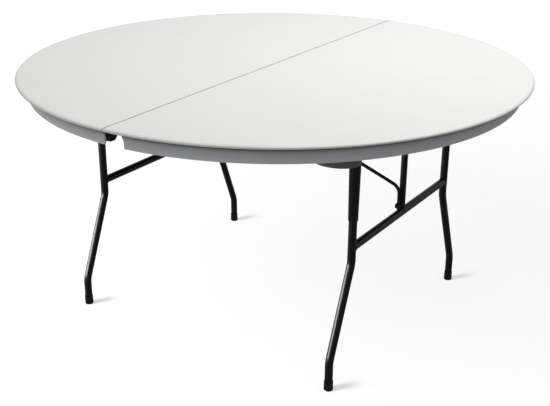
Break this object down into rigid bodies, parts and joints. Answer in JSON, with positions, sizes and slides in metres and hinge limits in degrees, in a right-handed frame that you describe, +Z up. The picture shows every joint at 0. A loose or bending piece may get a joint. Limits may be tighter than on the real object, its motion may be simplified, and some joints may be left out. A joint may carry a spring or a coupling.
{
  "type": "round folding table",
  "caption": "Round banquet table with a pale two-part top, a dark tapered skirt and bent tube leg frames that fold up under it.",
  "frame": {"origin": "floor level, under the centre of the table", "axes": "+Z up; the seam runs along Y; the leg frames stand at +X and -X of it"},
  "size_m": [1.5, 1.5, 0.76],
  "materials": {
    "pale_sheet": "satin",
    "grey_moulding": "matte, fine grain",
    "black_steel": "gloss powder coat",
    "zinc_steel": "zinc plated",
    "black_rubber": "matte"
  },
  "bodies": {
    "table": {"table_sheet_right": "pale_sheet", "underside_board_right": "grey_moulding", "skirt_right": "grey_moulding", "table_sheet_left": "pale_sheet", "underside_board_left": "grey_moulding", "skirt_left": "grey_moulding", "seam_bar": "black_steel", "seam_end_block_front": "black_rubber", "seam_end_block_back": "black_rubber", "brace_bracket_right": "black_steel", "brace_bracket_left": "black_steel", "brace_pin_right": "zinc_steel", "brace_pin_left": "zinc_steel", "hinge_block_front_right": "grey_moulding", "hinge_block_back_right": "grey_moulding", "hinge_block_front_left": "grey_moulding", "hinge_block_back_left": "grey_moulding", "seam_bolt_1": "zinc_steel", "seam_bolt_2": "zinc_steel", "seam_bolt_3": "zinc_steel", "seam_bolt_4": "zinc_steel", "seam_bolt_5": "zinc_steel", "seam_bolt_6": "zinc_steel", "bracket_bolt_1_right": "zinc_steel", "bracket_bolt_2_right": "zinc_steel", "bracket_bolt_1_left": "zinc_steel", "bracket_bolt_2_left": "zinc_steel", "end_bolt_front": "zinc_steel", "end_bolt_back": "zinc_steel", "screw_1_hinge_block_front_right": "zinc_steel", "screw_2_hinge_block_front_right": "zinc_steel", "screw_1_hinge_block_back_right": "zinc_steel", "screw_2_hinge_block_back_right": "zinc_steel", "screw_1_hinge_block_front_left": "zinc_steel", "screw_2_hinge_block_front_left": "zinc_steel", "screw_1_hinge_block_back_left": "zinc_steel", "screw_2_hinge_block_back_left": "zinc_steel"},
    "right_leg_frame": {"pivot_tube_right": "black_steel", "cross_bar_right": "black_steel", "centre_post_right": "black_steel", "brace_clip_right": "black_steel", "leg_front_right": "black_steel", "leg_sleeve_front_right": "black_steel", "foot_cap_front_right": "black_rubber", "leg_back_right": "black_steel", "foot_cap_back_right": "black_rubber"},
    "left_leg_frame": {"pivot_tube_left": "black_steel", "cross_bar_left": "black_steel", "centre_post_left": "black_steel", "brace_clip_left": "black_steel", "leg_front_left": "black_steel", "foot_cap_front_left": "black_rubber", "leg_back_left": "black_steel", "leg_sleeve_back_left": "black_steel", "foot_cap_back_left": "black_rubber"},
    "right_brace": {"brace_rod_right": "black_steel"},
    "left_brace": {"brace_rod_left": "black_steel"}
  },
  "joints": [
    {"name": "right_leg_fold", "type": "hinge", "parent": "table", "child": "right_leg_frame", "pos_m": [0.44, 0, 0.688], "axis": [0, 1, 0], "range_deg": [0, 86.5]},
    {"name": "left_leg_fold", "type": "hinge", "parent": "table", "child": "left_leg_frame", "pos_m": [-0.44, 0, 0.688], "axis": [0, -1, 0], "range_deg": [0, 83]},
    {"name": "right_brace_swing", "type": "hinge", "parent": "table", "child": "right_brace", "pos_m": [0, 0, 0.709], "axis": [0, 1, 0], "range_deg": [-23.95, 0]},
    {"name": "left_brace_swing", "type": "hinge", "parent": "table", "child": "left_brace", "pos_m": [0, 0, 0.709], "axis": [0, -1, 0], "range_deg": [-23, 0]}
  ],
  "couplings": [
    {"joint": "right_brace_swing", "follows": "right_leg_fold", "ratio": -0.2761},
    {"joint": "left_brace_swing", "follows": "left_leg_fold", "ratio": -0.2761}
  ]
}
